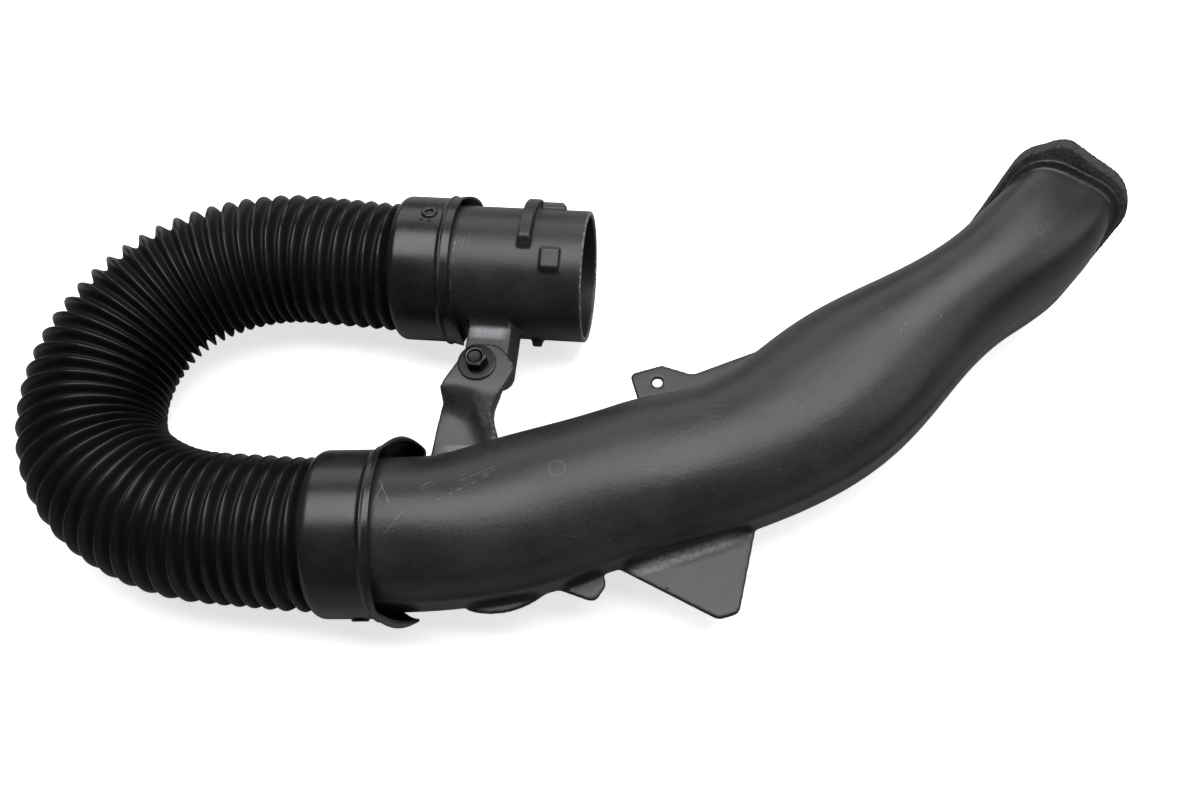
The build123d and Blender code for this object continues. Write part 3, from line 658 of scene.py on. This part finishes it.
def makeVentBoss(spec):
    boss = spec["boss"]
    s = hoseLength - boss["setback"] if spec["fromEnd"] else boss["setback"]
    x, y, heading = spotAt(s)
    angle = math.radians(boss["angle"])
    out = Vector((0, math.sin(angle), math.cos(angle)))
    along = Vector((1, 0, 0))
    side = out.cross(along)
    if spec["fromEnd"]:
        turn = Matrix.Rotation(heading, 3, "Z")
        out, along, side = turn @ out, turn @ along, turn @ side
    middle = Vector((x, y, 0))
    verts, faces = [], []

    def spin(profile, u, v):
        rows = []
        for r, h in profile:
            row = []
            for j in range(ventBoss["around"]):
                a = 2 * math.pi * j / ventBoss["around"]
                du, dv = u + r * math.cos(a), v + r * math.sin(a)
                lift = math.sqrt(spec["radius"] ** 2 - dv * dv) + h
                verts.append((middle + along * du + side * dv + out * lift) * mm)
                row.append(len(verts) - 1)
            rows.append(row)
        faces.extend(ringFaces(rows, False))

    spin(ventBoss["profile"], 0.0, 0.0)
    pip = ventBoss["pipRadius"]
    turns = [k * math.pi / 12 for k in range(7)]
    for u, v in ventBoss["pips"]:
        spin([(pip * math.cos(a), pip * (math.sin(a) - 0.25)) for a in turns], u, v)
    name = spec["name"] + "Boss"
    obj = newObject(name, meshOf(name, verts, faces, hosePlastic))
    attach(obj, "root")
    return obj


for spec in (upperCuff, lowerCuff):
    makeCuff(spec)
    makeVentBoss(spec)
print("cuffs made")

# rigid mouldings: the CAD form with the rounded edges and root fillets that a mould leaves
soften = {
    "intake_duct": {
        "name": "ductMoulding", "voxel": 0.95 * mm, "passes": 5, "limit": 195000, "slot": "duct_plastic",
    },
    "outlet_spout": {
        "name": "spoutMoulding", "voxel": 0.6 * mm, "passes": 5, "limit": 120000, "slot": "spout_plastic",
    },
    "mouth_seal": {"name": "sealStrip", "voxel": 0.75 * mm, "passes": 2, "limit": 60000, "slot": "foam"},
}
# fillets where the pinched sheets leave the duct, in mm: line, direction to the wall, sheet's top
rootFillets = [
    {
        "start": (38.0, -170.0), "end": (92.0, -146.0), "toward": (-0.39, 0.92), "top": -4.5,
        "reach": (2.0, 8.0), "rise": 1.5, "count": 30,
    },
    {
        "start": (-66.0, -95.0), "end": (-53.0, -95.0), "toward": (0.0, -1.0), "top": -4.5,
        "reach": (4.5, 4.5), "rise": 1.3, "count": 10,
    },
    {
        "start": (-40.0, -95.0), "end": (-31.0, -95.0), "toward": (0.0, -1.0), "top": -4.5,
        "reach": (4.5, 4.5), "rise": 1.3, "count": 8,
    },
]
# how a fillet's wedge sits in the sheet and the wall, in mm; its reach is full after 1 / growth of the line
wedge = {"foot": 0.5, "growth": 2.5, "toeSink": 0.3, "topSink": 0.3, "rootSink": 1.2, "rootDrop": 1.0}
# arm's sheet, in mm seen from above: its folds and ridge are rounded, its rim and bolt seat are kept
armZone = {
    "outline": [
        (-54.7, -47.4), (-66.8, -72.6), (-69.2, -119.4), (-25.2, -119.4), (-39.7, -82.4), (-29.2, -58.4), (-39.7, -47.4),
    ],
    "x": (-70.0, -25.0), "y": (-99.0, -47.0), "lowest": -12.0, "rim": 1.0, "passes": 60,
    "bolt": (-49.2, -58.4), "seat": 9.8, "corner": (-66.8, -72.6), "cornerReach": 4.0, "cornerPasses": 12,
}


def addRootFillets(bm):
    # wedges that the remesh melts into the sheet and the wall
    tree = BVHTree.FromBMesh(bm)
    for spec in rootFillets:
        toward = Vector((*spec["toward"], 0)).normalized()
        triples = []
        for i in range(spec["count"]):
            share = i / (spec["count"] - 1)
            start = Vector(spec["start"]).lerp(Vector(spec["end"]), share).to_3d() * mm
            feet = []
            for level in (wedge["foot"], spec["rise"]):
                start.z = (spec["top"] + level) * mm
                feet.append(tree.ray_cast(start, toward)[0])
            if None in feet:
                continue
            low, high = feet
            least, most = spec["reach"]
            toe = low - toward * (least + (most - least) * min(1.0, share * wedge["growth"])) * mm
            toe.z = (spec["top"] - wedge["toeSink"]) * mm
            root = low + toward * wedge["rootSink"] * mm
            root.z = (spec["top"] - wedge["rootDrop"]) * mm
            triples.append([bm.verts.new(v) for v in (toe, high + toward * wedge["topSink"] * mm, root)])
        for a, b in zip(triples, triples[1:]):
            for k in range(3):
                bm.faces.new((a[k], a[(k + 1) % 3], b[(k + 1) % 3], b[k]))
        bm.faces.new(triples[0])
        bm.faces.new(reversed(triples[-1]))


def insideBy(x, y, outline):
    # how far a point lies inside an outline, negative outside
    inside, nearest = False, 1e9
    for (x0, y0), (x1, y1) in zip(outline, outline[1:] + outline[:1]):
        if (y0 > y) != (y1 > y) and x < x0 + (y - y0) * (x1 - x0) / (y1 - y0):
            inside = not inside
        dx, dy = x1 - x0, y1 - y0
        k = max(0.0, min(1.0, ((x - x0) * dx + (y - y0) * dy) / (dx * dx + dy * dy)))
        nearest = min(nearest, math.hypot(x - x0 - k * dx, y - y0 - k * dy))
    return nearest if inside else -nearest


def roundArm(mesh):
    bm = bmesh.new()
    bm.from_mesh(mesh)
    zone, tip = [], []
    (left, right), (front, back) = armZone["x"], armZone["y"]
    for v in bm.verts:
        x, y, z = v.co / mm
        if not (left < x < right and front <= y <= back and z >= armZone["lowest"]):
            continue
        if math.dist((x, y), armZone["corner"]) < armZone["cornerReach"]:
            tip.append(v)
        offSeat = math.dist((x, y), armZone["bolt"]) > armZone["seat"]
        if offSeat and insideBy(x, y, armZone["outline"]) > armZone["rim"]:
            zone.append(v)
    for verts, passes in ((zone, armZone["passes"]), (tip, armZone["cornerPasses"])):
        for i in range(passes):
            bmesh.ops.smooth_vert(bm, verts=verts, factor=0.5, use_axis_x=True, use_axis_y=True, use_axis_z=True)
    bm.to_mesh(mesh)
    bm.free()
    print("arm rounded at", len(zone), "points")


def softenedCopy(nodeName, spec, material):
    mesh = nodes[nodeName].data.copy()
    mesh.materials.clear()
    bm = bmesh.new()
    bm.from_mesh(mesh)
    bmesh.ops.remove_doubles(bm, verts=bm.verts, dist=1e-6)
    if nodeName == "intake_duct":
        addRootFillets(bm)
    bm.to_mesh(mesh)
    bm.free()
    obj = newObject(spec["name"], mesh)
    remesh = obj.modifiers.new("skin", "REMESH")
    remesh.mode = "VOXEL"
    remesh.voxel_size = spec["voxel"]
    relax = obj.modifiers.new("relax", "SMOOTH")
    relax.factor = 0.5
    relax.iterations = spec["passes"]
    made = evaluatedMesh(obj, spec["name"])
    obj.modifiers.clear()
    if nodeName == "intake_duct":
        roundArm(made)
    obj.data = made
    made.calc_loop_triangles()
    triangles = len(made.loop_triangles)
    if triangles > spec["limit"]:
        thin = obj.modifiers.new("thin", "DECIMATE")
        thin.ratio = spec["limit"] / triangles
        obj.data = evaluatedMesh(obj, spec["name"])
        obj.modifiers.clear()
    obj.data.shade_smooth()
    obj.data.materials.clear()
    obj.data.materials.append(material)
    print(spec["name"], triangles, "triangles before thinning")
    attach(obj, "root")
    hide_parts(nodeName)
    return obj


softenedCopy("intake_duct", soften["intake_duct"], ductPlastic)
softenedCopy("outlet_spout", soften["outlet_spout"], spoutPlastic)
print("mouldings made")

# foam strip round the mouth: cut cells show as a rough, pitted face
foamFinish = dict(ductFinish, **{
    "Dark": (0.016, 0.0152, 0.0138), "Worn": (0.2, 0.188, 0.168),
    "Grain Scale": 1500.0, "Grain Height": 1.0, "Cloud Scale": 90.0,
    "Rub": 0.0, "Dust": 0.2, "Mottle": 0.2, "Rough Low": 0.9, "Rough High": 1.0, "Gloss": 0.15,
})
foamCells = {"scale": 900.0, "pit": 0.28 * mm, "broadScale": 120.0, "broad": 0.35 * mm}
# the strip stands proud at the top corner, where its ends meet, and thins on either side, in mm:
# full as far as the first length behind the corner, gone at the second, and gone at the next corner
sealCorner = {
    "top": (231.5, 56.0, 48.5), "next": (259.0, 37.4, 38.8), "behind": (7.0, 20.0), "thinning": 1.3,
    "outward": (0.478, 0.271, 0.836), "edge": 2.0, "depth": 6.0, "by": 4.6,
}


def shapeFoam(strip):
    top, outward = Vector(sealCorner["top"]), Vector(sealCorner["outward"])
    run = Vector(sealCorner["next"]) - top
    full, end = sealCorner["behind"]
    normals = [v.normal.copy() for v in strip.vertices]
    for v, normal in zip(strip.vertices, normals):
        pit = 0.5 + 0.5 * noise.noise(v.co * foamCells["scale"])
        broad = 0.5 + 0.5 * noise.noise(v.co * foamCells["broadScale"])
        v.co -= normal * (foamCells["pit"] * pit + foamCells["broad"] * broad)
        away = v.co / mm - top
        share = away.dot(run) / run.length_squared
        taper = 1 - share if share > 0 else ease((end + share * run.length) / (end - full))
        rimward = ease(1 + (away.dot(outward) + sealCorner["edge"]) / sealCorner["depth"])
        push = max(0.0, taper) ** sealCorner["thinning"] * rimward
        v.co += outward * sealCorner["by"] * mm * push


foam = plastic("foam", foamFinish)
sealStrip = softenedCopy("mouth_seal", soften["mouth_seal"], foam)
shapeFoam(sealStrip.data)
print("seal made")

# bolt and washer on the arm, in mm
bolt = {
    "axis": (-49.2, -58.4), "seat": 11.1, "top": 17.1, "flats": 10.0, "around": 96,
    "chamferStart": 4.75, "chamferSlope": 1.75, "chamferRows": (0.0, 0.12, 0.25, 0.4, 0.5, 0.6, 0.75),
    "dish": [(4.3, 0.0), (4.0, -0.06), (3.8, -0.25), (3.55, -0.75), (3.2, -0.95), (1.6, -1.0), (0.0, -1.0)],
    "shank": 3.0, "pitch": 1.0, "threadDepth": 0.32, "threadRows": 70, "end": -6.0,
}
washer = {
    "around": 96, "base": 9.5,
    "profile": [
        (3.3, 0.0), (3.3, 1.45), (3.45, 1.6), (5.8, 1.6), (9.0, 1.58), (9.35, 1.5),
        (9.55, 1.3), (9.6, 1.0), (9.6, 0.35), (9.45, 0.08), (9.2, 0.0),
    ],
}
steelFinish = dict(hoseFinish, **{
    "Dark": (0.012, 0.012, 0.0125), "Worn": (0.12, 0.12, 0.12), "Mark": (0.4, 0.4, 0.39), "Metal": 1.0,
    "Rub": 0.2, "Dust": 0.2, "Rough Low": 0.26, "Rough High": 0.46, "Cloud Scale": 160.0, "Gloss": 0.5,
})
boltSteel = plastic("boltSteel", steelFinish, [
    # lighter ring on the chamfer: partly edge wear, partly painted highlight; then a faint lighter ring round the
    # dish's rim
    ("ring", (*bolt["axis"], 16.7), 0, 0.3, {"Radius": 5.3, "Width": 1.0, "Deep": 0.3}),
    ("ring", (*bolt["axis"], bolt["top"]), 0, 0.12, {"Radius": 4.1, "Width": 0.5, "Deep": 0.3}),
])
washerSteel = plastic("washerSteel", steelFinish, [
    # painted highlight round the washer's rim
    ("ring", (*bolt["axis"], 11.1), 0, 0.45, {"Radius": 9.5, "Width": 0.45, "Deep": 1.2}),
])
brassFinish = dict(steelFinish, **{
    "Dark": (0.42, 0.3, 0.13), "Worn": (0.62, 0.5, 0.28), "Rough Low": 0.3, "Rough High": 0.45,
})
brass = plastic("brass", brassFinish)


def spunRows(profile, around, axis, shape):
    # rings of points; shape gives the real radius and height of each
    verts, rows = [], []
    for r, z in profile:
        row = []
        for j in range(around):
            a = 2 * math.pi * j / around
            radius, height = shape(r, z, a)
            spot = (axis[0] + radius * math.cos(a), axis[1] + radius * math.sin(a), height)
            verts.append([v * mm for v in spot])
            row.append(len(verts) - 1)
        rows.append(row)
    return verts, rows


def makeBolt():
    hexagon = bolt["flats"] / 2
    seat, top = bolt["seat"], bolt["top"]

    def shape(r, z, a):
        if r < 0:  # a negative radius asks for the hexagon, cut by the chamfer's cone
            flat = hexagon / math.cos((a % (math.pi / 3)) - math.pi / 6)
            return min(flat + r + 1, bolt["chamferStart"] + (top - z) * bolt["chamferSlope"]), z
        if z < seat - 0.05 and r > 0:
            groove = 0.5 - 0.5 * math.cos(2 * math.pi * (z / bolt["pitch"]) - a)
            return r - bolt["threadDepth"] * groove * min(1.0, (seat - z) / 2), z
        return r, z

    profile = [(r, top + h) for r, h in reversed(bolt["dish"])]
    profile += [(-1, top - drop) for drop in bolt["chamferRows"]]
    profile += [(-1, seat + 0.25), (-1, seat + 0.08), (-1.15, seat), (bolt["shank"], seat)]
    count = bolt["threadRows"]
    profile += [(bolt["shank"], seat - (seat - bolt["end"] - 0.6) * i / count) for i in range(1, count + 1)]
    profile += [(bolt["shank"] - 0.7, bolt["end"]), (0.0, bolt["end"])]
    verts, rows = spunRows(profile, bolt["around"], bolt["axis"], shape)
    return newObject("armBolt", meshOf("armBolt", verts, ringFaces(rows, False), boltSteel))


def makeWasher():
    profile = [(r, washer["base"] + z) for r, z in washer["profile"]]
    verts, rows = spunRows(profile, washer["around"], bolt["axis"], lambda r, z, a: (r, z))
    return newObject("armWasher", meshOf("armWasher", verts, ringFaces(rows, True), washerSteel))


for piece, nodeName in ((makeBolt(), "bracket_bolt"), (makeWasher(), "bolt_washer")):
    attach(piece, "root")
    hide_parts(nodeName)
insertMesh = nodes["tab_insert"].data
insertMesh.materials.clear()
insertMesh.materials.append(brass)
print("bolt and washer made")

# floor and soft light; the floor shows less in the part's gloss than to the eye, as if dark cards stood round it
floorTone = {"half": 4.0, "eye": (0.72, 0.72, 0.72, 1), "gloss": (0.25, 0.25, 0.25, 1), "glow": 0.7, "roughness": 0.9}
skyTone = {"glow": 0.7, "light": 0.035}
floorZ, half = cadBox[0].z, floorTone["half"]
floorMesh = bpy.data.meshes.new("floor")
floorCorners = [(x * half, y * half, floorZ) for x, y in ((-1, -1), (1, -1), (1, 1), (-1, 1))]
floorMesh.from_pydata(floorCorners, [], [(0, 1, 2, 3)])
floor = newObject("floor", floorMesh)
floorMat = bpy.data.materials.new("paleFloor")
floorMat.use_nodes = True
floorTree = floorMat.node_tree
floorShader = floorTree.nodes["Principled BSDF"]
floorPath = floorTree.nodes.new("ShaderNodeLightPath").outputs
floorColour = mixNode(floorTree, "RGBA", floorPath["Is Glossy Ray"], floorTone["eye"], floorTone["gloss"])
link(floorColour, floorShader.inputs["Base Color"])
floorShader.inputs["Emission Color"].default_value = (1, 1, 1, 1)
floorGlow = mathNode(floorTree, "MULTIPLY", floorPath["Is Camera Ray"], floorTone["glow"])
link(floorGlow, floorShader.inputs["Emission Strength"])
floorShader.inputs["Roughness"].default_value = floorTone["roughness"]
floorMesh.materials.append(floorMat)

world = bpy.data.worlds.new("studio")
scene.world = world
world.use_nodes = True
sky = world.node_tree
sky.nodes["Background"].inputs["Color"].default_value = (1, 1, 1, 1)
seen = sky.nodes.new("ShaderNodeLightPath").outputs["Is Camera Ray"]
skyLight = mathNode(sky, "ADD", mathNode(sky, "MULTIPLY", seen, skyTone["glow"]), skyTone["light"])
link(skyLight, sky.nodes["Background"].inputs["Strength"])

studio = [
    {
        "name": "overheadBox", "place": (0.0, 0.15, 1.1), "aim": (0.0, 0.0, 0.0),
        "size": (1.3, 0.76), "power": 23.5, "tint": (0.975, 0.965, 1.0),
    },
    {
        "name": "backBox", "place": (0.0, 1.0, 0.55), "aim": (0.0, -0.05, 0.0),
        "size": (1.8, 0.6), "power": 7.5, "tint": (1.0, 0.99, 1.0),
    },
    {
        "name": "rightBox", "place": (1.0, -0.1, 0.7), "aim": (0.15, -0.05, 0.0),
        "size": (0.8, 0.8), "power": 4.5, "tint": (1.0, 0.99, 1.0),
    },
]
for spec in studio:
    light = bpy.data.lights.new(spec["name"], "AREA")
    light.shape = "RECTANGLE"
    light.size, light.size_y = spec["size"]
    light.energy = spec["power"]
    light.color = spec["tint"]
    lamp = bpy.data.objects.new(spec["name"], light)
    lamp.location = spec["place"]
    aim = Vector(spec["aim"]) - Vector(spec["place"])
    lamp.rotation_euler = aim.to_track_quat("-Z", "Y").to_euler()
    scene.collection.objects.link(lamp)
scene.view_settings.view_transform = "Standard"
print("stage set")
